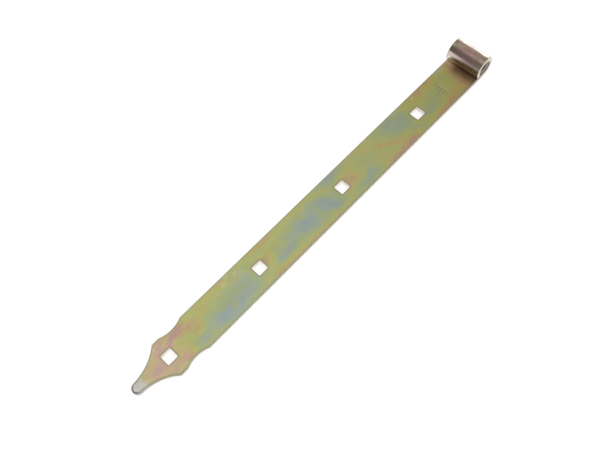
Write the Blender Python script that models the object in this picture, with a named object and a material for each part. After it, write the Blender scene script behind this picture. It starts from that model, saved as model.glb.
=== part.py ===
"""Strap leaf of a hook-and-band gate hinge, in metres.

It is one flat steel bar, lying on its back face (z = 0) along X. The head end (+X) is rolled up into an eye
that turns on a hook's pin, and the other end (-X) is cut to an ornamental leaf tip. Square holes along the
middle take the square necks of carriage bolts.

The bar is made as it is in a workshop: the blank is cut out flat, its edges are rounded, its head is rolled
round the bore's axis, and the holes are punched.
"""

import math

import bmesh
import bpy

# Bar
STRAP_WIDTH = 0.035
STRAP_THICKNESS = 0.004
LEAF_LENGTH = 0.400  # from the near side of the eye to the tip
EDGE_RADIUS = 0.0005
EDGE_SEGMENTS = 3

# Eye
BORE_DIAMETER = 0.014
CURL_GAP = 0.0003  # between the rolled end and the strap that it closes against
CURL_STEP = math.radians(10)

# Square holes, their distances measured from the bore's axis
HOLE_SIZE = 0.010
HOLE_CORNER_RADIUS = 0.001
FIRST_HOLE_DISTANCE = 0.073
HOLE_PITCH = 0.100
HOLE_COUNT = 4
PUNCH_OVERSHOOT = 0.002

# Leaf tip, its distances measured from the tip's end
FINGER_RADIUS = 0.005
FLANK_RADIUS = 0.042
EAR_HALF_WIDTH = 0.0172
SCALLOP_DISTANCE = 0.053
SCALLOP_HALF_WIDTH = 0.0148
SCALLOP_RADIUS = 0.027
TIP_ARC_STEP = 0.002

# Worked out from the sizes above
HALF_WIDTH = STRAP_WIDTH / 2
EYE_RADIUS = BORE_DIAMETER / 2 + STRAP_THICKNESS
NEUTRAL_RADIUS = EYE_RADIUS - STRAP_THICKNESS / 2
OVERALL_LENGTH = LEAF_LENGTH + 2 * EYE_RADIUS
TIP_X = -OVERALL_LENGTH / 2
BORE_X = OVERALL_LENGTH / 2 - EYE_RADIUS
# The curl ends where its outer corner comes down to one gap above the strap's front face.
CURL_ANGLE = 2 * math.pi - math.acos(1 - (STRAP_THICKNESS + CURL_GAP) / EYE_RADIUS)
BLANK_END_X = BORE_X + CURL_ANGLE * NEUTRAL_RADIUS

ZINC_COLOUR = (0.36, 0.35, 0.15, 1)
ZINC_ROUGHNESS = 0.35


def arc(centre, radius, start, end, step=TIP_ARC_STEP):
    """Points on a circle from one angle to another, both ends included, about one step apart."""
    count = max(2, math.ceil(abs(end - start) * radius / step))
    angles = [start + (end - start) * i / count for i in range(count + 1)]
    return [(centre[0] + radius * math.cos(a), centre[1] + radius * math.sin(a)) for a in angles]


def blank_outline():
    """The flat blank, anticlockwise: its lower side is the mirror image of its upper side."""
    scallop_centre = (TIP_X + SCALLOP_DISTANCE, SCALLOP_HALF_WIDTH + SCALLOP_RADIUS)
    shoulder = math.asin((scallop_centre[1] - HALF_WIDTH) / SCALLOP_RADIUS)
    ear = math.asin((scallop_centre[1] - EAR_HALF_WIDTH) / SCALLOP_RADIUS)
    scallop = arc(scallop_centre, SCALLOP_RADIUS, -shoulder, ear - math.pi)

    finger_centre = (TIP_X + FINGER_RADIUS, 0)
    flank_centre = (finger_centre[0], FINGER_RADIUS + FLANK_RADIUS)
    flank_start = -math.asin((flank_centre[1] - EAR_HALF_WIDTH) / FLANK_RADIUS)
    flank = arc(flank_centre, FLANK_RADIUS, flank_start, -math.pi / 2)
    finger = arc(finger_centre, FINGER_RADIUS, math.pi / 2, math.pi, TIP_ARC_STEP / 2)

    # The finger's arc starts at the flank's last point, and ends on the middle line.
    upper = [(BLANK_END_X, HALF_WIDTH), *scallop, *flank, *finger[1:]]
    lower = [(x, -y) for x, y in reversed(upper[:-1])]
    return upper + lower


def square_outline(size, corner_radius):
    """A square with rounded corners, anticlockwise about the origin."""
    reach = size / 2 - corner_radius
    points = []
    for quarter, (side_x, side_y) in enumerate([(1, 1), (-1, 1), (-1, -1), (1, -1)]):
        start = quarter * math.pi / 2
        centre = (side_x * reach, side_y * reach)
        points += arc(centre, corner_radius, start, start + math.pi / 2, corner_radius / 2)
    return points


def extruded(outline, bottom, top):
    """A bmesh of an outline drawn up from one height to another."""
    bm = bmesh.new()
    face = bm.faces.new([bm.verts.new((x, y, bottom)) for x, y in outline])
    raised = bmesh.ops.extrude_face_region(bm, geom=[face])["geom"]
    for item in raised:
        if isinstance(item, bmesh.types.BMVert):
            item.co.z = top
    bmesh.ops.recalc_face_normals(bm, faces=bm.faces)
    return bm


def round_rim_edges(bm):
    """Rounds the edges between the blank's faces and its sides, all the way round."""
    rims = [edge for edge in bm.edges if edge.verts[0].co.z == edge.verts[1].co.z]
    bmesh.ops.bevel(
        bm,
        geom=rims,
        offset=EDGE_RADIUS,
        segments=EDGE_SEGMENTS,
        profile=0.5,
        affect="EDGES",
    )


def roll_head(bm):
    """Cuts the head into facets, then winds it up round the bore's axis."""
    for step in range(math.ceil(CURL_ANGLE / CURL_STEP)):
        cut_x = BORE_X + step * CURL_STEP * NEUTRAL_RADIUS
        everything = bm.verts[:] + bm.edges[:] + bm.faces[:]
        bmesh.ops.bisect_plane(
            bm, geom=everything, dist=1e-7, plane_co=(cut_x, 0, 0), plane_no=(1, 0, 0)
        )
    for vert in bm.verts:
        if vert.co.x > BORE_X:
            angle = (vert.co.x - BORE_X) / NEUTRAL_RADIUS
            radius = EYE_RADIUS - vert.co.z
            vert.co.x = BORE_X + radius * math.sin(angle)
            vert.co.z = EYE_RADIUS - radius * math.cos(angle)


def object_from(bm, name):
    mesh = bpy.data.meshes.new(name)
    bm.to_mesh(mesh)
    bm.free()
    obj = bpy.data.objects.new(name, mesh)
    bpy.context.scene.collection.objects.link(obj)
    return obj


def zinc_material():
    """Yellow-passivated zinc plating."""
    material = bpy.data.materials.new("yellow_zinc")
    material.use_nodes = True
    shader = material.node_tree.nodes["Principled BSDF"]
    shader.inputs["Base Color"].default_value = ZINC_COLOUR
    shader.inputs["Metallic"].default_value = 1.0
    shader.inputs["Roughness"].default_value = ZINC_ROUGHNESS
    return material


def make_strap():
    bm = extruded(blank_outline(), 0, STRAP_THICKNESS)
    round_rim_edges(bm)
    roll_head(bm)
    strap = object_from(bm, "hinge_strap")
    strap.data.materials.append(zinc_material())
    strap.data.shade_smooth()
    strap.data.set_sharp_from_angle(angle=math.radians(35))
    return strap


def make_punch(number):
    """The cutter for one square hole."""
    outline = square_outline(HOLE_SIZE, HOLE_CORNER_RADIUS)
    bm = extruded(outline, -PUNCH_OVERSHOOT, STRAP_THICKNESS + PUNCH_OVERSHOOT)
    punch = object_from(bm, f"punch_{number + 1}")
    punch.location.x = BORE_X - FIRST_HOLE_DISTANCE - number * HOLE_PITCH
    punch.hide_render = True
    punch.display_type = "WIRE"
    return punch


def main():
    for obj in list(bpy.data.objects):
        bpy.data.objects.remove(obj)
    strap = make_strap()
    for number in range(HOLE_COUNT):
        hole = strap.modifiers.new(f"square_hole_{number + 1}", "BOOLEAN")
        hole.operation = "DIFFERENCE"
        hole.solver = "EXACT"
        hole.object = make_punch(number)


main()
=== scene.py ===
"""The looks of a yellow-zinc gate hinge strap: its fine mesh, its plating and a pale studio."""

import math

import bmesh
import bpy
from mathutils import Euler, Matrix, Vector


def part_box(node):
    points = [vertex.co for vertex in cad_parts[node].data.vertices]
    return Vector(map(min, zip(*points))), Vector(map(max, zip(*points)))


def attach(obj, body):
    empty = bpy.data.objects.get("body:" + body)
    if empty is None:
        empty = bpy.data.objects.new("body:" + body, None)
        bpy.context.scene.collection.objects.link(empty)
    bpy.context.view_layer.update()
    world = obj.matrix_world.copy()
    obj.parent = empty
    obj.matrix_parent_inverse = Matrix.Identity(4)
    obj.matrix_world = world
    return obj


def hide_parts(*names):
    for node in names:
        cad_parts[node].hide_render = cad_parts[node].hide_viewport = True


MM = 0.001

# The strap's own sizes, where the frame's box doesn't give them
THICKNESS = 4 * MM
CURL_GAP = 0.3 * MM
HOLE_SIZE = 10 * MM
HOLE_CORNER = 1 * MM
FIRST_HOLE = 73 * MM
HOLE_PITCH = 100 * MM
HOLE_COUNT = 4

# Leaf tip, measured from its end
FINGER_RADIUS = 5 * MM
FLANK_RADIUS = 42 * MM
EAR_HALF_WIDTH = 17.2 * MM
SCALLOP_DISTANCE = 53 * MM
SCALLOP_HALF_WIDTH = 14.8 * MM
SCALLOP_RADIUS = 27 * MM

# How finely the visual mesh follows them
OUTLINE_STEP = 0.4 * MM
EDGE_STEP = 5 * MM
CORNER_STEP = 0.12 * MM
CURL_STEP = math.radians(3)
SHARP_CORNER = math.radians(12)
CORNER_REACH = 0.8 * MM
CORNER_CLEARANCE = 1.2 * CORNER_REACH
CORNER_PIECES = 6
RIM_BAND = 1.7 * MM
SMOOTH_ANGLE = math.radians(40)

# Edge profiles, each from the wall inwards, as (inset, depth below the face) in millimetres
MILL_EDGE = [(0.0, 0.34), (0.03, 0.2), (0.1, 0.09), (0.21, 0.02), (0.34, 0.0)]
FINGER_EDGE = [(0.0, 1.25), (0.1, 0.8), (0.38, 0.46), (1.15, 0.1), (1.45, 0.0)]
PUNCHED_EDGE = [(0.0, 0.3), (0.03, 0.17), (0.1, 0.08), (0.2, 0.02), (0.32, 0.0)]
SHEARED_EDGE = [(0.0, 0.12), (0.01, 0.07), (0.03, 0.03), (0.07, 0.01), (0.12, 0.0)]
# The finger's worn edge reaches this far from the tip's end, then fades into the plain one.
FINGER_FADE = (5 * MM, 13 * MM)

# A row of centre-punch dimples across the strap, near the eye. Their rings are (radius, depth) in
# millimetres, from outside in, and those from DIMPLE_LIP on are dark.
DIMPLE_DISTANCE = 38.5 * MM
DIMPLE_PITCH = 3.4 * MM
DIMPLE_COUNT = 5
DIMPLE_RINGS = [(1.2, 0.0), (0.95, 0.0), (0.85, 0.07), (0.5, 0.34), (0.2, 0.5)]
DIMPLE_LIP = 2
DIMPLE_DEPTH = 0.53 * MM
DIMPLE_STRETCH = 3.4
DIMPLE_SIDES = 24

# What the mesh stores at each vertex, from 0 to 1: worn edges, bright cut metal, and punched places drawn
# darker
MARKS = ("rim", "cut", "punched")
# How much of the bright cut metal shows on the eye's end rings, and where it starts, from the bore's axis
RING_CUT = 0.6
RING_CUT_START = -6 * MM
# How dark a hole's lip would be at the tip's end, where 1 is as dark as from the strap's middle on
TIP_LIP = 0.4

# Chromate film: the colours that it shows as its tone rises
FILM_COLOURS = [
    (0.00, (0.31, 0.365, 0.355)),
    (0.14, (0.33, 0.39, 0.32)),
    (0.28, (0.37, 0.42, 0.235)),
    (0.42, (0.425, 0.445, 0.18)),
    (0.54, (0.46, 0.435, 0.165)),
    (0.66, (0.485, 0.38, 0.19)),
    (0.78, (0.485, 0.335, 0.225)),
    (0.90, (0.48, 0.315, 0.25)),
    (1.00, (0.45, 0.29, 0.27)),
]
TONE_BASE = 0.43
BARE_ZINC = (0.57, 0.55, 0.50)
BORDER_ZINC = (0.35, 0.33, 0.23)
BROWN_BORDER = (0.35, 0.29, 0.215)
WORN_ZINC = (0.42, 0.42, 0.39)
# Painted shade that darkens the film towards the eye, and also yellows it
FILM_SHADE_TINT = (0.97, 0.93, 0.78)
TIP_FILM = (0.71, 0.545, 0.405)
PUNCHED_DARK = (0.36, 0.27, 0.17)
CUT_ZINC = (0.78, 0.74, 0.67)
# The colour of dirt, and of painted shadow under the eye's near end
GRIME_AND_SHADOW = (0.16, 0.14, 0.11)
# The bore's wall, from its mouth inwards: pale with painted light where light falls in near the mouth, and
# dark with painted shade further in
BORE_COLOURS = [
    (0.00, (0.26, 0.24, 0.20)),
    (0.15, (0.42, 0.39, 0.33)),
    (0.32, (0.84, 0.78, 0.69)),
    (0.52, (0.84, 0.76, 0.65)),
    (0.70, (0.26, 0.22, 0.17)),
    (1.00, (0.07, 0.055, 0.04)),
]
BORE_FADE = 4.6 * MM

# The eye's film is darker and browner. These are its colours as its own tone rises, with the cream at the top
# of the range as a painted highlight.
EYE_COLOURS = [
    (0.10, (0.40, 0.30, 0.25)),
    (0.28, (0.42, 0.27, 0.25)),
    (0.37, (0.34, 0.225, 0.20)),
    (0.45, (0.25, 0.17, 0.14)),
    (0.53, (0.34, 0.23, 0.185)),
    (0.64, (0.52, 0.355, 0.295)),
    (0.75, (0.40, 0.315, 0.26)),
    (0.86, (0.60, 0.53, 0.46)),
    (1.00, (0.74, 0.69, 0.61)),
]
EYE_END_TINT = (0.93, 1.18, 1.0)
# Greens the eye's underside over the leaf: a painted reflection of the leaf
EYE_UNDER_REFLECTION_TINT = (1.06, 1.22, 0.86)
# A painted highlight along the eye's shoulder over the leaf, bright at the +Y end and dimmer towards -Y: its
# colours from -Y to +Y
SHOULDER_HIGHLIGHT_COLOURS = [
    (0.00, (0.26, 0.22, 0.18)),
    (0.22, (0.25, 0.205, 0.165)),
    (0.44, (0.31, 0.21, 0.20)),
    (0.67, (0.47, 0.36, 0.34)),
    (0.90, (0.60, 0.52, 0.485)),
]
# A painted reflection of the pale floor on the end of the curl's underside
CORNER_REFLECTION = (0.95, 0.84, 0.73)
# The leaf's film in front of the eye and close under it, each as a colour of painted shade and a paler colour
# of painted light at the lit side
CONTACT_FILM_SHADE_LIGHT = ((0.40, 0.265, 0.15), (0.56, 0.39, 0.19))
DEEP_CONTACT_FILM_SHADE_LIGHT = ((0.36, 0.26, 0.20), (0.68, 0.52, 0.39))

# Noises drawn out along one way: stretch along x, y and z, turn in degrees, detail, roughness, distortion
BROAD_NOISE = ((22, 40, 40), 25, 3.0, 0.55, 0.6)
STREAK_NOISE = ((45, 150, 150), 14, 3.0, 0.5, 0.2)
CLOUD_NOISE = ((30, 55, 55), -20, 4.0, 0.6, 0.8)
LINE_NOISE = ((20, 3200, 3200), 0, 2.0, 0.6, 0.0)
# Noises that are alike every way: scale, detail, roughness
PUSH_NOISE = (90, 4.0, 0.5)
MOTTLE_NOISE = (330, 4.0, 0.65)
PIT_NOISE = (2400, 2.0, 0.5)
GRAIN_NOISE = (900, 3.0, 0.6)
NOISE_MIDDLE = 0.5
PUSH_REACH = 8 * MM

# From here to the stains, each pair is where a layer starts to show and where it shows in full. A row of four
# goes on with what the layer gives at those two ends.
PIT_RANGE = (0.66, 0.76)

# Heights, z
BACK_FACE = (1.5 * MM, 0.5 * MM)
FRONT_FACE = (1 * MM, 3 * MM)
ON_EYE = (4.5 * MM, 8 * MM)
EYE_UNDERSIDE = (14 * MM, 12 * MM)
SHOULDER_BOTTOM = (12.6 * MM, 14 * MM)
SHOULDER_TOP = (18 * MM, 16.8 * MM)

# Places along the strap, x
# Where the painted shade towards the eye starts, and where it is full
FILM_SHADE_RUN = (60 * MM, 170 * MM)
BROWN_BORDER_RUN = (20 * MM, 140 * MM)
THIN_TIP_FILM = (-150 * MM, -184 * MM, 0.0, 0.35)
# The same, measured from the tip's end
BARE_FINGER = (15 * MM, 9 * MM)
# The same, measured from the bore's axis
NEAR_EYE = (-26 * MM, -14 * MM)
DEEP_CONTACT = (-17 * MM, -9 * MM)
OVER_LEAF = (-7 * MM, -8.5 * MM)
# The eye's tone rises towards +X, so its far side turns cream: a painted highlight
EYE_RISE = (-6 * MM, 5 * MM)
EYE_RISE_TONE = (0.0, 0.62)  # what EYE_RISE gives at its ends
EYE_END_RUN = (4 * MM, -1 * MM)
EYE_END_SHARE = (0.1, 1.0)  # what EYE_END_RUN gives at its ends
# Distances from the bore's axis, past the bore's radius
BORE_WALL = (0.8 * MM, 0.2 * MM)

# Places across the strap, y. The eye's far end is on +Y and its near end on -Y.
LIT_SIDE = (3 * MM, 14 * MM)
CURL_CORNER = (7 * MM, 15 * MM)
FAR_END = (5 * MM, 13 * MM)
NEAR_END = (-5 * MM, -14 * MM, 0.0, 0.5)

# How the noises change the film's tone, on the leaf, on its back and on the eye
LEAF_BROAD_TONE = (0.25, 0.75, -0.12, 0.12)
LEAF_STREAK_TONE = (0.25, 0.75, -0.09, 0.09)
LEAF_MOTTLE_TONE = (0.25, 0.75, -0.06, 0.06)
BACK_CLOUD_TONE = (0.3, 0.7, -0.42, 0.45)
EYE_BROAD_TONE = (0.2, 0.8, 0.1, 0.5)
EYE_MOTTLE_TONE = (0.2, 0.8, -0.08, 0.08)

# How much of the worn edges, the dark lips and the dirt shows
WORN_SHARE = (0.3, 0.6, 0.7, 0.95)
LIP_SHARE = 0.8
PIT_DIRT = 0.14
LINE_DIRT = (0.6, 0.75, 0.0, 0.12)

# Roughness of the plain leaf, and what each layer adds to it
STREAK_ROUGHNESS = (0.3, 0.7, 0.27, 0.36)
LINE_ROUGHNESS = (0.35, 0.65, -0.03, 0.03)
EYE_ROUGHNESS = -0.09
CONTACT_ROUGHNESS = 0.05
BORE_ROUGHNESS = 0.3
DIRT_ROUGHNESS = 0.3
# The bore's wall is dull, so less of it is metallic.
BORE_METALLIC = (0.0, 1.0, 1.0, 0.35)

# Bump: the grain's height is 1
LINE_HEIGHT = 0.5
PIT_HEIGHT = -0.8
BUMP_STRENGTH = 0.12
BUMP_DISTANCE = 0.1 * MM

# A stain reaches this far below the front face. Stains are added in batches, each nudged by the one before.
STAIN_DEPTH = 3 * MM
STAIN_BATCH = 12
STAIN_NUDGE = 0.01 * MM

# Stains on the front face: x, y, half length, half width in millimetres, turn in degrees, change of tone
ROSE_STAINS = [
    (-175, 0, 30, 30, 0, 0.3),
    (-186, -2, 17, 8, 0, 0.34),
    (-184, -7.5, 9, 5, -20, 0.2),
    (-184, 6, 8, 5, 30, -0.12),
    (-169, -13, 8, 5, 0, -0.12),
    (-170, 10, 15, 8, 0, 0.38),
    (-173, -12, 12, 6, 0, 0.06),
    (-153, 9.5, 34, 8, -5, 0.38),
    (-163, -10, 12, 8, -15, 0.32),
    (-141.5, 0.5, 9, 7, 30, 0.24),
    (-110, 15, 60, 7, 0, 0.12),
    (-67, -1, 13, 13, 0, 0.26),
    (-73, 0, 9.5, 9.5, 0, 0.2),
    (-61, 0, 9, 12, 0, 0.16),
    (-60, 16, 40, 6, 0, 0.18),
    (-10, 16, 24, 5, 0, 0.14),
    (-35, -16, 66, 6, 0, 0.22),
    (-68, -13, 18, 6, 0, 0.12),
    (33, 0, 13, 13, 0, 0.3),
    (27, 0, 9.5, 9.5, 0, 0.14),
    (40, 5, 17, 7, 25, 0.2),
    (42, -5, 14, 8, -20, 0.2),
    (73, 6, 31, 6.5, -31, 0.3),
    (97, -8, 30, 8, -31, 0.25),
    (95, -16, 34, 7, 0, 0.44),
    (76, 12, 18, 4, -25, 0.2),
    (125, 1, 12, 12, 0, 0.16),
    (148, 14, 32, 9, 0, 0.36),
    (150, -15, 38, 8, 0, 0.26),
    (163, -10, 16, 7, 20, 0.16),
    (182, -6, 13, 13, 0, 0.3),
    (174, -9, 14, 9, 0, 0.12),
    (185, 8, 10, 12, 0, 0.2),
]
TEAL_STAINS = [
    (-113, -8, 50, 18, 0, -0.24),
    (-121, -9, 16, 8, 0, -0.14),
    (-146, -11, 12, 8, 0, -0.14),
    (-99, -9, 20, 8, 0, -0.12),
    (-97, 6, 32, 13, 0, -0.16),
    (-12, -1, 66, 19, 0, -0.26),
    (-45, -7.5, 22, 5, 2, -0.24),
    (-26, 8, 30, 7, 0, -0.1),
    (-20, -4, 14, 11, 0, -0.14),
    (6, 0, 24, 9, -50, -0.16),
    (13, -8, 14, 8, -20, -0.14),
    (27, 14, 26, 8, 0, -0.34),
    (50, -12, 26, 9, 0, -0.32),
    (60, 3, 20, 15, 0, -0.1),
    (106, 9, 31, 15, -8, -0.25),
    (104, 12, 22, 8, -8, -0.1),
    (111, -2, 14, 12, 0, -0.14),
    (142, -4, 26, 15, 0, -0.12),
    (172, 5, 9, 5, 0, -0.08),
    (-158, -1, 12, 8, 0, -0.06),
]
# Fine scratches in the film, in the same terms
SCRATCHES = [
    (-59.5, 8.6, 6, 0.7, 60, 0.32),
    (-57.3, 8.5, 7.5, 0.7, 42, 0.28),
    (-63, -8.2, 4.5, 0.7, -55, 0.28),
    (-122, 12, 11, 0.4, 8, 0.12),
    (-30, -3, 14, 0.4, -6, 0.12),
    (18, 9, 9, 0.4, 14, 0.14),
    (84, -4, 12, 0.4, -24, 0.12),
    (134, 9, 8, 0.4, 32, 0.14),
    (158, -3, 10, 0.4, -12, 0.12),
    (-181, 7, 6, 0.4, 38, 0.14),
]
# Dirty marks, in the same terms, with how dark they are. The two along the -Y edge by the eye are painted
# shadow under the eye's near end.
GRIME_AND_SHADOW_STAINS = [
    (-207.8, 1.9, 3.6, 0.55, 48, 0.5),
    (-203.5, 3.6, 4.5, 0.5, 8, 0.4),
    (-176, -17, 5, 1.4, 0, 0.5),
    (-187, -11.4, 9, 0.9, -40, 0.35),
    (-176, 17, 4, 1, 0, 0.3),
    (-166, -5, 3, 0.8, 20, 0.16),
    (-81, 9, 2.5, 0.7, 70, 0.2),
    (-4, -12, 3, 0.6, 12, 0.14),
    (61, 9, 2.4, 0.7, -40, 0.16),
    (120, -13, 4, 0.6, 5, 0.16),
    (166, 13, 3, 0.9, 30, 0.2),
    # Painted shadow under the eye's near end, along the -Y edge
    (188, -16.5, 8, 1.4, 0, 0.4),
    (172, -17, 26, 4, 0, 0.26),
    (-173, 0, 9, 9, 0, 0.1),
    (-71, 1, 10, 9, 0, 0.26),
    (27, 0, 9.5, 9, 0, 0.2),
    (127, 0, 9, 9, 0, 0.2),
]
# Places where the film is rubbed thin, in the same terms, with how much zinc shows
RUBBED_STAINS = [
    (176, 16, 14, 5, 0, 0.36),
    (-86, 8, 7, 7, 0, 0.14),
    (-72, -15, 12, 4, 0, 0.14),
    (115, 16, 16, 3.5, 0, 0.2),
]
# Spots of painted light on the eye, which lighten its lower flank at the +Y end and shape the cream painted
# highlight on its far side: x, y, z and reach in millimetres, change of tone
EYE_LIGHT_SPOTS = [
    (189, 17, 9, 6, 0.6),
    (205, -13, 21, 6, 0.3),
    (201, 17, 22, 9, -0.24),
]

# Camera: the photograph's angle
CAMERA_PLACE = (-0.1799, -0.1989, 0.5263)
CAMERA_TURN = (25.70, 4.08, -46.37)
CAMERA_LENS = 41.716
CAMERA_CLIP = 10 * MM
SENSOR_WIDTH = 36

# Table
TABLE_REACH = 6
TABLE_DROP = 0.2 * MM
TABLE_COLOUR = (0.9, 0.9, 0.9, 1)
TABLE_ROUGHNESS = 0.8
TABLE_GLOW = 0.5
WHITE = (1, 1, 1, 1)

# The room round the table. Its ceiling's brightness goes by how far a direction leans towards +X. The pairs
# below it are ranges of a direction's x, y or z, read in the same way as the plating's.
CEILING_LIGHT = [
    (-0.05, 1.3),
    (0.15, 1.08),
    (0.3, 0.93),
    (0.44, 0.83),
    (0.51, 0.72),
    (0.58, 0.54),
    (0.75, 0.5),
]
# A colour ramp's values end at 1, so the ceiling's ramp holds its light divided by this.
RAMP_SCALE = 2
CEILING_HEIGHT = (0.1, 0.5)
CEILING_EDGE = (-0.5, 0.13)
CEILING_BACK = (-0.8, -0.3)
CEILING_FRONT = (0.95, 0.5, 0.5, 1.0)
WALL_LIGHT = 0.3
# The white sweep round the table, which is higher and brighter on the +X side
SWEEP_LIGHT = 1.3
SWEEP_TOP = (0.26, 0.1)
SWEEP_SIDE = (-0.2, -0.6)
BRIGHT_SWEEP_LIGHT = 2.6
BRIGHT_SWEEP_TOP = (0.45, 0.2)
BRIGHT_SWEEP_SIDE = (0.3, 0.7)
# The pale wall behind the camera's side, on -Y
BACK_LIGHT = 0.9
BACK_EDGE = (-0.35, -0.65)
BACK_FOOT = (0.0, 0.3)


# ---------------------------------------------------------------- outlines


def arc(centre, radius, start, end, step=OUTLINE_STEP):
    """Points on a circle from one angle to another, both ends included."""
    count = max(2, math.ceil(abs(end - start) * radius / step))
    angles = [start + (end - start) * i / count for i in range(count + 1)]
    return [centre + radius * Vector((math.cos(a), math.sin(a))) for a in angles]


def straight(start, end, step):
    """Points from one point up to another, leaving out the last one."""
    count = max(1, math.ceil((end - start).length / step))
    return [start.lerp(end, i / count) for i in range(count)]


def softened(path):
    """The same path, with a short curve in place of each sharp corner."""
    corners = {
        i
        for i in range(1, len(path) - 1)
        if (path[i] - path[i - 1]).angle(path[i + 1] - path[i]) > SHARP_CORNER
    }
    result = []
    for i, point in enumerate(path):
        if i in corners:
            start = point + (path[i - 1] - point).normalized() * CORNER_REACH
            end = point + (path[i + 1] - point).normalized() * CORNER_REACH
            steps = [j / CORNER_PIECES for j in range(CORNER_PIECES + 1)]
            result += [start.lerp(point, t).lerp(point.lerp(end, t), t) for t in steps]
        # Points close beside a corner give way to its curve.
        elif all((point - path[c]).length > CORNER_CLEARANCE for c in corners):
            result.append(point)
    return result


class Strap:
    """The strap's main places, read from the frame, and its flat blank's outline."""

    def __init__(self):
        low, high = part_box("hinge_strap")
        self.half_width = (high.y - low.y) / 2
        self.eye_radius = (high.z - low.z) / 2
        self.tip_x = low.x
        self.bore_x = high.x - self.eye_radius
        self.neutral_radius = self.eye_radius - THICKNESS / 2
        self.curl_angle = 2 * math.pi - math.acos(1 - (THICKNESS + CURL_GAP) / self.eye_radius)
        self.end_x = self.bore_x + self.curl_angle * self.neutral_radius
        self.curl_steps = math.ceil(self.curl_angle / CURL_STEP)

    def from_tip(self, distances):
        """Places along the strap, from their distances past the tip's end."""
        return [self.tip_x + distance for distance in distances]

    def from_bore(self, distances):
        """Places along the strap, from their distances past the bore's axis."""
        return [self.bore_x + distance for distance in distances]

    def hole_centres(self):
        return [self.bore_x - FIRST_HOLE - i * HOLE_PITCH for i in range(HOLE_COUNT)]

    def upper_side(self):
        """From the blank's head end to the middle of the tip."""
        run = (self.end_x - self.bore_x) / self.curl_steps
        head = [
            Vector((self.end_x - i * run, self.half_width)) for i in range(self.curl_steps)
        ]
        neck = Vector((self.bore_x, self.half_width))

        scallop_centre = Vector((self.tip_x + SCALLOP_DISTANCE, SCALLOP_HALF_WIDTH + SCALLOP_RADIUS))
        shoulder = math.asin((scallop_centre.y - self.half_width) / SCALLOP_RADIUS)
        ear = math.asin((scallop_centre.y - EAR_HALF_WIDTH) / SCALLOP_RADIUS)
        scallop = arc(scallop_centre, SCALLOP_RADIUS, -shoulder, ear - math.pi)

        finger_centre = Vector((self.tip_x + FINGER_RADIUS, 0))
        flank_centre = finger_centre + Vector((0, FINGER_RADIUS + FLANK_RADIUS))
        flank_start = -math.asin((flank_centre.y - EAR_HALF_WIDTH) / FLANK_RADIUS)
        flank = arc(flank_centre, FLANK_RADIUS, flank_start, -math.pi / 2)
        finger = arc(finger_centre, FINGER_RADIUS, math.pi / 2, math.pi)
        return head + softened(
            straight(neck, scallop[0], EDGE_STEP)
            + scallop[:-1]
            + straight(scallop[-1], flank[0], OUTLINE_STEP)
            + flank
            + finger[1:]
        )

    def outline(self):
        """All round the blank, with the material on the left."""
        upper = self.upper_side()
        return upper + [Vector((p.x, -p.y)) for p in reversed(upper[:-1])]


def hole_outline(centre_x):
    """A square with rounded corners, clockwise, so that the material is on its left."""
    reach = HOLE_SIZE / 2 - HOLE_CORNER
    points = []
    for quarter, (side_x, side_y) in enumerate([(1, 1), (-1, 1), (-1, -1), (1, -1)]):
        start = quarter * math.pi / 2
        centre = Vector((centre_x + side_x * reach, side_y * reach))
        points += arc(centre, HOLE_CORNER, start, start + math.pi / 2, CORNER_STEP)
    return points[::-1]


# ---------------------------------------------------------------- mesh


def faded(value, low, high):
    """0 below low, 1 above high, and a smooth rise between them."""
    t = min(max((value - low) / (high - low), 0), 1)
    return t * t * (3 - 2 * t)


def blended(first, second, share):
    return [
        (a[0] + (b[0] - a[0]) * share, a[1] + (b[1] - a[1]) * share)
        for a, b in zip(first, second)
    ]


def inward_shifts(loop):
    """For each point, the shift that moves both of its sides into the material by one unit."""
    shifts = []
    for i, point in enumerate(loop):
        before = (point - loop[i - 1]).normalized()
        after = (loop[(i + 1) % len(loop)] - point).normalized()
        left_before = Vector((-before.y, before.x))
        left_after = Vector((-after.y, after.x))
        shifts.append((left_before + left_after) / (1 + left_before.dot(left_after)))
    return shifts


def rim_section(front_edge, back_edge):
    """(inset, height) from the back face's flat, round the edge's wall, to the front face's flat."""
    back = [(inset * MM, depth * MM) for inset, depth in reversed(back_edge)]
    front = [(inset * MM, THICKNESS - depth * MM) for inset, depth in front_edge]
    return [(RIM_BAND, 0.0), *back, *front, (RIM_BAND, THICKNESS)]


def strap_section(strap, x):
    """The bar's rolled edge, which turns into the worn edge of the finger at the tip."""
    plain = faded(x - strap.tip_x, *FINGER_FADE)
    return rim_section(blended(FINGER_EDGE, MILL_EDGE, plain), MILL_EDGE)


def add_rim(bm, loop, sections):
    """The wall and the rounded edges along a loop, and the vertices of each of its rings."""
    shifts = inward_shifts(loop)
    rings = []
    for station in range(len(sections[0])):
        ring = []
        for point, shift, section in zip(loop, shifts, sections):
            inset, height = section[station]
            place = point + shift * inset
            ring.append(bm.verts.new((place.x, place.y, height)))
        rings.append(ring)
    for lower, upper in zip(rings, rings[1:]):
        for i in range(len(loop)):
            j = (i + 1) % len(loop)
            bm.faces.new((lower[i], lower[j], upper[j], upper[i]))
    return rings


def ring_edges(bm, ring):
    return [bm.edges.get((a, b)) for a, b in zip(ring, ring[1:] + ring[:1])]


def mark(rings, layer, share=lambda x: 1.0):
    """Stores a share at each vertex of some rings: 1, or what its x gives."""
    for ring in rings:
        for vert in ring:
            vert[layer] = share(vert.co.x)


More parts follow.
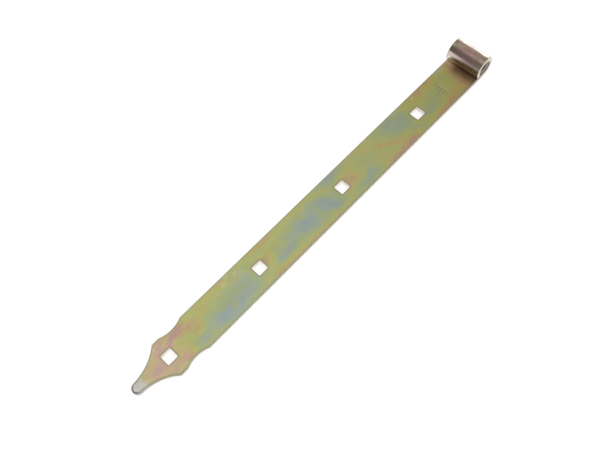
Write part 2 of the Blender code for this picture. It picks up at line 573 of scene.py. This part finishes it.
def add_dimple(bm, centre):
    """One shallow cone punched into the front face, and its outermost ring."""
    turns = [-2 * math.pi * i / DIMPLE_SIDES for i in range(DIMPLE_SIDES)]
    rings = []
    for radius, depth in DIMPLE_RINGS:
        ring = []
        for turn in turns:
            x = centre.x + DIMPLE_STRETCH * radius * MM * math.cos(turn)
            y = centre.y + radius * MM * math.sin(turn)
            ring.append(bm.verts.new((x, y, THICKNESS - depth * MM)))
        rings.append(ring)
    bottom = bm.verts.new((centre.x, centre.y, THICKNESS - DIMPLE_DEPTH))
    mark([*rings[DIMPLE_LIP:], [bottom]], bm.verts.layers.float["punched"])
    for outer, inner in zip(rings, rings[1:]):
        for i in range(DIMPLE_SIDES):
            j = (i + 1) % DIMPLE_SIDES
            bm.faces.new((outer[j], outer[i], inner[i], inner[j]))
    for i in range(DIMPLE_SIDES):
        bm.faces.new((rings[-1][(i + 1) % DIMPLE_SIDES], rings[-1][i], bottom))
    return rings[0]


def fill_flat(bm, strap, ring, inner_rings):
    """One face of the bar: quads along the curl, and a fill with holes over the flat leaf."""
    count = len(ring)
    for i in range(strap.curl_steps):
        bm.faces.new((ring[i], ring[i + 1], ring[count - 2 - i], ring[count - 1 - i]))
    first, last = strap.curl_steps, count - 1 - strap.curl_steps
    leaf = ring[first : last + 1]
    edges = [bm.edges.get(pair) for pair in zip(leaf, leaf[1:])]
    edges.append(bm.edges.get((ring[first], ring[last])))
    for inner in inner_rings:
        edges += ring_edges(bm, inner)
    bmesh.ops.triangle_fill(bm, use_beauty=True, edges=edges, normal=(0, 0, 1))


def roll_head(bm, strap):
    """Winds the part of the blank past the bore's axis round that axis."""
    for vert in bm.verts:
        if vert.co.x > strap.bore_x:
            angle = (vert.co.x - strap.bore_x) / strap.neutral_radius
            radius = strap.eye_radius - vert.co.z
            vert.co.x = strap.bore_x + radius * math.sin(angle)
            vert.co.z = strap.eye_radius - radius * math.cos(angle)


def mark_rims(bm, strap, outer, holes):
    """Marks the worn edges, the cut metal of the end rings and the holes' walls, and the holes' dark lips."""
    rim, cut, punched = (bm.verts.layers.float[name] for name in MARKS)
    ring_cut = strap.from_bore((RING_CUT_START, 0))
    # A rim's rings go from the back face to the front face, with its wall between these two.
    wall_back = len(MILL_EDGE)
    wall_front = wall_back + 1
    mark(outer[1:-1], rim)
    mark(outer[wall_back : wall_front + 1], cut, lambda x: RING_CUT * faded(x, *ring_cut))
    for rings in holes:
        mark(rings[1:-1], rim)
        mark(rings[wall_back - 1 : wall_front + 2], cut)
        lip = rings[wall_front + 2 : -1]
        mark(lip, punched, lambda x: TIP_LIP + (1 - TIP_LIP) * faded(x, strap.tip_x, 0))


def add_dimples(bm, strap):
    middle = (DIMPLE_COUNT - 1) / 2
    places = [(i - middle) * DIMPLE_PITCH for i in range(DIMPLE_COUNT)]
    return [add_dimple(bm, Vector((strap.bore_x - DIMPLE_DISTANCE, y))) for y in places]


def object_from(bm, name):
    mesh = bpy.data.meshes.new(name)
    bm.to_mesh(mesh)
    bm.free()
    obj = bpy.data.objects.new(name, mesh)
    bpy.context.scene.collection.objects.link(obj)
    return obj


def make_strap(strap):
    bm = bmesh.new()
    for name in MARKS:
        bm.verts.layers.float.new(name)
    outline = strap.outline()
    outer = add_rim(bm, outline, [strap_section(strap, p.x) for p in outline])
    holes = []
    for centre_x in strap.hole_centres():
        loop = hole_outline(centre_x)
        holes.append(add_rim(bm, loop, [rim_section(PUNCHED_EDGE, SHEARED_EDGE)] * len(loop)))
    mark_rims(bm, strap, outer, holes)
    dimples = add_dimples(bm, strap)
    fill_flat(bm, strap, outer[-1], [rings[-1] for rings in holes] + dimples)
    fill_flat(bm, strap, outer[0], [rings[0] for rings in holes])
    roll_head(bm, strap)
    bmesh.ops.recalc_face_normals(bm, faces=bm.faces)
    body = object_from(bm, "strap_body")
    body.data.shade_smooth()
    body.data.set_sharp_from_angle(angle=SMOOTH_ANGLE)
    return body


# ---------------------------------------------------------------- plating


class Tree:
    """A node tree, with short calls for the nodes that the materials use."""

    def __init__(self, tree):
        self.tree = tree

    def add(self, kind, **settings):
        node = self.tree.nodes.new("ShaderNode" + kind)
        for name, value in settings.items():
            setattr(node, name, value)
        return node

    def feed(self, socket, value):
        if isinstance(value, bpy.types.NodeSocket):
            self.tree.links.new(value, socket)
        else:
            socket.default_value = value

    def math(self, operation, first, second=0.0):
        node = self.add("Math", operation=operation)
        self.feed(node.inputs[0], first)
        self.feed(node.inputs[1], second)
        return node.outputs[0]

    def total(self, values):
        result = values[0]
        for value in values[1:]:
            result = self.math("ADD", result, value)
        return result

    def product(self, first, second):
        return self.math("MULTIPLY", first, second)

    def vector(self, operation, first, second):
        node = self.add("VectorMath", operation=operation)
        self.feed(node.inputs[0], first)
        self.feed(node.inputs[1], second)
        return node.outputs[0]

    def length(self, vector):
        node = self.add("VectorMath", operation="LENGTH")
        self.feed(node.inputs[0], vector)
        return node.outputs["Value"]

    def separated(self, vector):
        node = self.add("SeparateXYZ")
        self.feed(node.inputs[0], vector)
        return tuple(node.outputs)

    def attribute(self, name):
        return self.add("Attribute", attribute_name=name).outputs["Fac"]

    def noise(self, place, scale, detail, roughness, distortion=0.0, output="Fac"):
        node = self.add("TexNoise")
        self.feed(node.inputs["Vector"], place)
        node.inputs["Scale"].default_value = scale
        node.inputs["Detail"].default_value = detail
        node.inputs["Roughness"].default_value = roughness
        node.inputs["Distortion"].default_value = distortion
        return node.outputs[output]

    def stretched_noise(self, place, stretch, turn, detail, roughness, distortion):
        node = self.add("Mapping")
        self.feed(node.inputs["Vector"], place)
        node.inputs["Scale"].default_value = stretch
        node.inputs["Rotation"].default_value = (0, 0, math.radians(turn))
        return self.noise(node.outputs[0], 1.0, detail, roughness, distortion)

    def spread(self, value, low, high, to_low=0.0, to_high=1.0, smooth=True):
        """Goes from to_low to to_high as the value goes from low to high, and is level outside them."""
        node = self.add("MapRange", interpolation_type="SMOOTHSTEP" if smooth else "LINEAR")
        self.feed(node.inputs["Value"], value)
        node.inputs["From Min"].default_value = low
        node.inputs["From Max"].default_value = high
        node.inputs["To Min"].default_value = to_low
        node.inputs["To Max"].default_value = to_high
        return node.outputs[0]

    def ramp(self, value, stops):
        node = self.add("ValToRGB")
        self.feed(node.inputs[0], value)
        elements = node.color_ramp.elements
        while len(elements) < len(stops):
            elements.new(0.5)
        for element, (place, colour) in zip(elements, stops):
            element.position = place
            element.color = (*colour, 1)
        return node.outputs[0]

    def mixed(self, share, first, second, blend="MIX"):
        """Two colours, each a socket or its red, green and blue, with a share of the second."""
        node = self.add("Mix", data_type="RGBA", blend_type=blend)
        self.feed(node.inputs["Factor"], share)
        for name, colour in (("A", first), ("B", second)):
            self.feed(node.inputs[name], (*colour, 1) if isinstance(colour, tuple) else colour)
        return node.outputs["Result"]


def stain_group():
    """A node group that adds a soft oval to a sum: its shift in the middle, and nothing past its reach."""
    group = bpy.data.node_groups.new("stain", "ShaderNodeTree")
    for name, kind in (
        ("Place", "NodeSocketVector"),
        ("Centre", "NodeSocketVector"),
        ("Turn", "NodeSocketVector"),
        ("Reach", "NodeSocketVector"),
        ("Shift", "NodeSocketFloat"),
        ("Sum", "NodeSocketFloat"),
    ):
        group.interface.new_socket(name, in_out="INPUT", socket_type=kind)
    group.interface.new_socket("Sum", in_out="OUTPUT", socket_type="NodeSocketFloat")
    tree = Tree(group)
    given = group.nodes.new("NodeGroupInput").outputs
    result = group.nodes.new("NodeGroupOutput")
    oval = tree.add("Mapping", vector_type="TEXTURE")
    tree.feed(oval.inputs["Vector"], given["Place"])
    tree.feed(oval.inputs["Location"], given["Centre"])
    tree.feed(oval.inputs["Rotation"], given["Turn"])
    tree.feed(oval.inputs["Scale"], given["Reach"])
    near = tree.spread(tree.length(oval.outputs[0]), 1.0, 0.0)
    tree.feed(result.inputs[0], tree.math("ADD", given["Sum"], tree.product(near, given["Shift"])))
    return group


def add_stains(tree, place, stains):
    """The sum of flat stains on the front face."""
    rows = [
        ((x, y, THICKNESS / MM), (along, across, STAIN_DEPTH / MM), turn, shift)
        for x, y, along, across, turn, shift in stains
    ]
    return add_ovals(tree, place, rows)


def add_ovals(tree, place, rows):
    """The sum of soft ovals, each given by its centre and reach in millimetres, its turn and its shift."""
    group = bpy.data.node_groups.get("stain") or stain_group()
    value = 0.0
    for i, (centre, reach, turn, shift) in enumerate(rows):
        if i > 0 and i % STAIN_BATCH == 0:
            # Cycles holds side by side whatever waits for nothing, and has room for about 80 stains.
            # So each batch waits for the one before, whose sum nudges its place by too little to see.
            place = tree.vector("ADD", place, tree.product(value, STAIN_NUDGE))
        node = tree.tree.nodes.new("ShaderNodeGroup")
        node.node_tree = group
        tree.feed(node.inputs["Place"], place)
        node.inputs["Centre"].default_value = Vector(centre) * MM
        node.inputs["Turn"].default_value = (0, 0, math.radians(turn))
        node.inputs["Reach"].default_value = Vector(reach) * MM
        node.inputs["Shift"].default_value = shift
        tree.feed(node.inputs["Sum"], value)
        value = node.outputs[0]
    return value


class Surface:
    """Where a point is on the strap, and the noises that all layers of the plating share."""

    def __init__(self, tree, strap):
        self.place = tree.add("TexCoord").outputs["Object"]
        self.x, self.y, self.z = tree.separated(self.place)
        # Layers that follow the pushed place get ragged edges.
        push = tree.noise(self.place, *PUSH_NOISE, output="Color")
        shift = tree.vector("SUBTRACT", push, (NOISE_MIDDLE,) * 3)
        shift = tree.vector("MULTIPLY", shift, (PUSH_REACH,) * 3)
        self.pushed = tree.vector("ADD", self.place, shift)
        self.pushed_x, self.pushed_y, self.pushed_z = tree.separated(self.pushed)

        self.broad = tree.stretched_noise(self.place, *BROAD_NOISE)
        self.streaks = tree.stretched_noise(self.place, *STREAK_NOISE)
        self.lines = tree.stretched_noise(self.place, *LINE_NOISE)
        self.mottle = tree.noise(self.place, *MOTTLE_NOISE)
        self.pits = tree.spread(tree.noise(self.place, *PIT_NOISE), *PIT_RANGE)

        self.bare = tree.spread(self.pushed_x, *strap.from_tip(BARE_FINGER))
        self.on_eye = tree.spread(self.pushed_z, *ON_EYE)
        near_eye = tree.spread(self.pushed_x, *strap.from_bore(NEAR_EYE))
        self.near_eye = tree.product(near_eye, tree.spread(self.z, *FRONT_FACE))
        across = tree.vector("MULTIPLY", self.place, (1, 0, 1))
        from_axis = tree.length(tree.vector("SUBTRACT", across, (strap.bore_x, 0, strap.eye_radius)))
        bore_radius = strap.eye_radius - THICKNESS
        self.in_bore = tree.spread(from_axis, *[bore_radius + distance for distance in BORE_WALL])


def leaf_film(tree, surface):
    """Rose, gold, green and teal patches, darker and browner towards the eye with painted shade."""
    on_back = tree.spread(surface.z, *BACK_FACE)
    clouds = tree.stretched_noise(surface.place, *CLOUD_NOISE)
    tone = tree.total(
        [
            tree.spread(surface.broad, *LEAF_BROAD_TONE, smooth=False),
            tree.spread(surface.streaks, *LEAF_STREAK_TONE, smooth=False),
            tree.spread(surface.mottle, *LEAF_MOTTLE_TONE, smooth=False),
            tree.product(on_back, tree.spread(clouds, *BACK_CLOUD_TONE, smooth=False)),
            add_stains(tree, surface.pushed, ROSE_STAINS + TEAL_STAINS),
            add_stains(tree, surface.place, SCRATCHES),
        ]
    )
    film = tree.ramp(tree.math("ADD", tone, TONE_BASE), FILM_COLOURS)
    # Painted shade: darker and yellower towards the eye
    film = tree.mixed(tree.spread(surface.x, *FILM_SHADE_RUN), film, FILM_SHADE_TINT, "MULTIPLY")
    film = tree.mixed(add_stains(tree, surface.pushed, RUBBED_STAINS), film, BARE_ZINC)
    return tree.mixed(tree.spread(surface.x, *THIN_TIP_FILM), film, TIP_FILM)


def contact_film_shade_light(tree, surface, strap):
    """The brown film in front of the eye, darkened with painted shade, and paler with painted light where
    light comes in from the side.
    """
    deep = tree.spread(surface.x, *strap.from_bore(DEEP_CONTACT))
    lit = tree.spread(surface.pushed_y, *LIT_SIDE)
    return tree.mixed(deep, tree.mixed(lit, *CONTACT_FILM_SHADE_LIGHT), tree.mixed(lit, *DEEP_CONTACT_FILM_SHADE_LIGHT))


def eye_film(tree, surface, strap):
    """Brown and purple, cream over the far side as a painted highlight, greener at the ends, with painted
    reflections under it and a painted highlight along the shoulder.
    """
    spots = [((x, y, z), (reach,) * 3, 0, shift) for x, y, z, reach, shift in EYE_LIGHT_SPOTS]
    tone = tree.total(
        [
            tree.spread(surface.broad, *EYE_BROAD_TONE, smooth=False),
            tree.spread(surface.mottle, *EYE_MOTTLE_TONE, smooth=False),
            # Rising towards +X: a painted highlight that turns the far side cream
            tree.spread(surface.x, *strap.from_bore(EYE_RISE), *EYE_RISE_TONE, smooth=False),
            add_ovals(tree, surface.pushed, spots),
        ]
    )
    film = tree.ramp(tone, EYE_COLOURS)

    far_end = tree.spread(surface.pushed_y, *FAR_END)
    near_end = tree.spread(surface.pushed_y, *NEAR_END)
    end_share = tree.spread(surface.x, *strap.from_bore(EYE_END_RUN), *EYE_END_SHARE)
    ends = tree.product(tree.math("MAXIMUM", far_end, near_end), end_share)
    film = tree.mixed(ends, film, EYE_END_TINT, "MULTIPLY")

    over_leaf = tree.spread(surface.x, *strap.from_bore(OVER_LEAF))
    under = tree.product(tree.spread(surface.z, *EYE_UNDERSIDE), over_leaf)
    # Painted reflection of the leaf on the eye's underside
    film = tree.mixed(under, film, EYE_UNDER_REFLECTION_TINT, "MULTIPLY")
    # Painted reflection of the pale floor at the +Y corner of the curl's underside
    at_corner = tree.spread(surface.pushed_y, *CURL_CORNER)
    film = tree.mixed(tree.product(under, at_corner), film, CORNER_REFLECTION)

    # The shoulder's painted highlight, brightest at the +Y end
    above = tree.spread(surface.z, *SHOULDER_BOTTOM)
    below = tree.spread(surface.z, *SHOULDER_TOP)
    shoulder = tree.product(tree.product(above, below), over_leaf)
    along = tree.spread(surface.y, -strap.half_width, strap.half_width, smooth=False)
    return tree.mixed(shoulder, film, tree.ramp(along, SHOULDER_HIGHLIGHT_COLOURS))


def bore_film_light_shade(tree, surface, strap):
    """Pale inside the bore's mouths with painted light, and dark further in with painted shade."""
    from_middle = tree.math("ABSOLUTE", surface.y)
    ends = (strap.half_width, strap.half_width - BORE_FADE)
    return tree.ramp(tree.spread(from_middle, *ends, smooth=False), BORE_COLOURS)


def edge_metal(tree, surface):
    """The worn edges: a border that browns towards the eye, plain zinc at the finger, and cut metal."""
    colour = tree.mixed(tree.spread(surface.x, *BROWN_BORDER_RUN), BORDER_ZINC, BROWN_BORDER)
    colour = tree.mixed(surface.bare, colour, WORN_ZINC)
    return tree.mixed(tree.attribute("cut"), colour, CUT_ZINC)


def plating_colour(tree, surface, strap, dirt_and_shadow):
    colour = tree.mixed(surface.near_eye, leaf_film(tree, surface), contact_film_shade_light(tree, surface, strap))
    colour = tree.mixed(surface.on_eye, colour, eye_film(tree, surface, strap))
    colour = tree.mixed(surface.in_bore, colour, bore_film_light_shade(tree, surface, strap))
    colour = tree.mixed(surface.bare, colour, BARE_ZINC)
    worn = tree.product(tree.attribute("rim"), tree.spread(surface.mottle, *WORN_SHARE))
    colour = tree.mixed(worn, colour, edge_metal(tree, surface))
    lips = tree.product(tree.attribute("punched"), LIP_SHARE)
    colour = tree.mixed(lips, colour, PUNCHED_DARK)
    # Dirt, and painted shadow under the eye's near end
    return tree.mixed(dirt_and_shadow, colour, GRIME_AND_SHADOW)


def plating_roughness(tree, surface, dirt_and_shadow):
    return tree.total(
        [
            tree.spread(surface.streaks, *STREAK_ROUGHNESS),
            tree.product(surface.on_eye, EYE_ROUGHNESS),
            tree.product(surface.near_eye, CONTACT_ROUGHNESS),
            tree.product(surface.in_bore, BORE_ROUGHNESS),
            tree.product(dirt_and_shadow, DIRT_ROUGHNESS),
            tree.spread(surface.lines, *LINE_ROUGHNESS, smooth=False),
        ]
    )


def plating_bump(tree, surface):
    height = tree.total(
        [
            tree.noise(surface.place, *GRAIN_NOISE),
            tree.product(surface.lines, LINE_HEIGHT),
            tree.product(surface.pits, PIT_HEIGHT),
        ]
    )
    bump = tree.add("Bump")
    bump.inputs["Strength"].default_value = BUMP_STRENGTH
    bump.inputs["Distance"].default_value = BUMP_DISTANCE
    tree.feed(bump.inputs["Height"], height)
    return bump.outputs[0]


def zinc_material(strap):
    """Yellow chromate on zinc: a thin film whose colour follows its thickness."""
    material = bpy.data.materials.new("yellow_zinc")
    material.use_nodes = True
    shader = material.node_tree.nodes["Principled BSDF"]
    tree = Tree(material.node_tree)
    surface = Surface(tree, strap)
    dirt_and_shadow = tree.total(
        [
            add_stains(tree, surface.pushed, GRIME_AND_SHADOW_STAINS),
            tree.product(surface.pits, PIT_DIRT),
            tree.spread(surface.lines, *LINE_DIRT),
        ]
    )
    metallic = tree.spread(surface.in_bore, *BORE_METALLIC, smooth=False)
    tree.feed(shader.inputs["Base Color"], plating_colour(tree, surface, strap, dirt_and_shadow))
    tree.feed(shader.inputs["Metallic"], metallic)
    tree.feed(shader.inputs["Roughness"], plating_roughness(tree, surface, dirt_and_shadow))
    tree.feed(shader.inputs["Normal"], plating_bump(tree, surface))
    return material


# ---------------------------------------------------------------- studio


def make_camera():
    camera = bpy.data.objects.new("camera", bpy.data.cameras.new("camera"))
    camera.location = CAMERA_PLACE
    camera.rotation_euler = Euler([math.radians(turn) for turn in CAMERA_TURN])
    camera.data.lens = CAMERA_LENS
    camera.data.sensor_width = SENSOR_WIDTH
    camera.data.clip_start = CAMERA_CLIP
    bpy.context.scene.collection.objects.link(camera)
    bpy.context.scene.camera = camera


def make_floor():
    """A white table that also glows a little, so that it looks as white as the photograph's background."""
    bm = bmesh.new()
    bmesh.ops.create_grid(bm, x_segments=1, y_segments=1, size=TABLE_REACH)
    floor = object_from(bm, "floor")
    material = bpy.data.materials.new("white_table")
    material.use_nodes = True
    shader = material.node_tree.nodes["Principled BSDF"]
    shader.inputs["Base Color"].default_value = TABLE_COLOUR
    shader.inputs["Roughness"].default_value = TABLE_ROUGHNESS
    shader.inputs["Emission Color"].default_value = WHITE
    shader.inputs["Emission Strength"].default_value = TABLE_GLOW
    floor.data.materials.append(material)
    floor.location.z = -TABLE_DROP


def ceiling_light(tree, x, y, z):
    """How much brighter than the walls the ceiling is, by direction."""
    low, high = CEILING_LIGHT[0][0], CEILING_LIGHT[-1][0]
    stops = [((lean - low) / (high - low), (light / RAMP_SCALE,) * 3) for lean, light in CEILING_LIGHT]
    ceiling = tree.product(tree.ramp(tree.spread(x, low, high, smooth=False), stops), RAMP_SCALE)
    share = tree.spread(z, *CEILING_HEIGHT)
    share = tree.product(share, tree.spread(x, *CEILING_EDGE))
    share = tree.product(share, tree.spread(y, *CEILING_BACK))
    share = tree.product(share, tree.spread(y, *CEILING_FRONT))
    return tree.product(share, tree.math("SUBTRACT", ceiling, WALL_LIGHT))


def lower_light(tree, first, first_range, second, second_range, light):
    """How much brighter than the walls a pale stretch of the room is, by two parts of a direction."""
    share = tree.spread(first, *first_range, 0.0, light - WALL_LIGHT)
    return tree.product(share, tree.spread(second, *second_range))


def make_world():
    """A bright ceiling towards +X and +Y, dim walls, and plain white where the camera sees the room."""
    world = bpy.data.worlds.new("studio")
    world.use_nodes = True
    tree = Tree(world.node_tree)
    x, y, z = tree.separated(tree.add("TexCoord").outputs["Generated"])
    sweep = lower_light(tree, z, SWEEP_TOP, x, SWEEP_SIDE, SWEEP_LIGHT)
    bright_sweep = lower_light(tree, z, BRIGHT_SWEEP_TOP, x, BRIGHT_SWEEP_SIDE, BRIGHT_SWEEP_LIGHT)
    back = lower_light(tree, y, BACK_EDGE, z, BACK_FOOT, BACK_LIGHT)
    light = tree.math("ADD", ceiling_light(tree, x, y, z), tree.math("MAXIMUM", sweep, bright_sweep))
    light = tree.math("MAXIMUM", light, back)

    lit = world.node_tree.nodes["Background"]
    lit.inputs["Color"].default_value = WHITE
    tree.feed(lit.inputs["Strength"], tree.math("ADD", light, WALL_LIGHT))
    seen = tree.add("Background")
    seen.inputs["Color"].default_value = WHITE
    seen.inputs["Strength"].default_value = 1.0
    mix = tree.add("MixShader")
    tree.feed(mix.inputs[0], tree.add("LightPath").outputs["Is Camera Ray"])
    tree.feed(mix.inputs[1], lit.outputs[0])
    tree.feed(mix.inputs[2], seen.outputs[0])
    tree.feed(world.node_tree.nodes["World Output"].inputs["Surface"], mix.outputs[0])
    bpy.context.scene.world = world


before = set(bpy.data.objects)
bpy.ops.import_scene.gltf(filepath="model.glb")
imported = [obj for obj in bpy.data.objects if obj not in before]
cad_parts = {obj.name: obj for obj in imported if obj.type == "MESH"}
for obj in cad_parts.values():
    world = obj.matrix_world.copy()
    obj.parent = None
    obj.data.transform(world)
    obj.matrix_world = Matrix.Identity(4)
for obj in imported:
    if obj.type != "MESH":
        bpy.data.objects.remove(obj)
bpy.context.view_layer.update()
bpy.context.scene.view_settings.view_transform = "Standard"
make_camera()
make_floor()
make_world()
strap = Strap()
body = make_strap(strap)
body.data.materials.append(zinc_material(strap))
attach(body, "root")
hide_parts("hinge_strap")
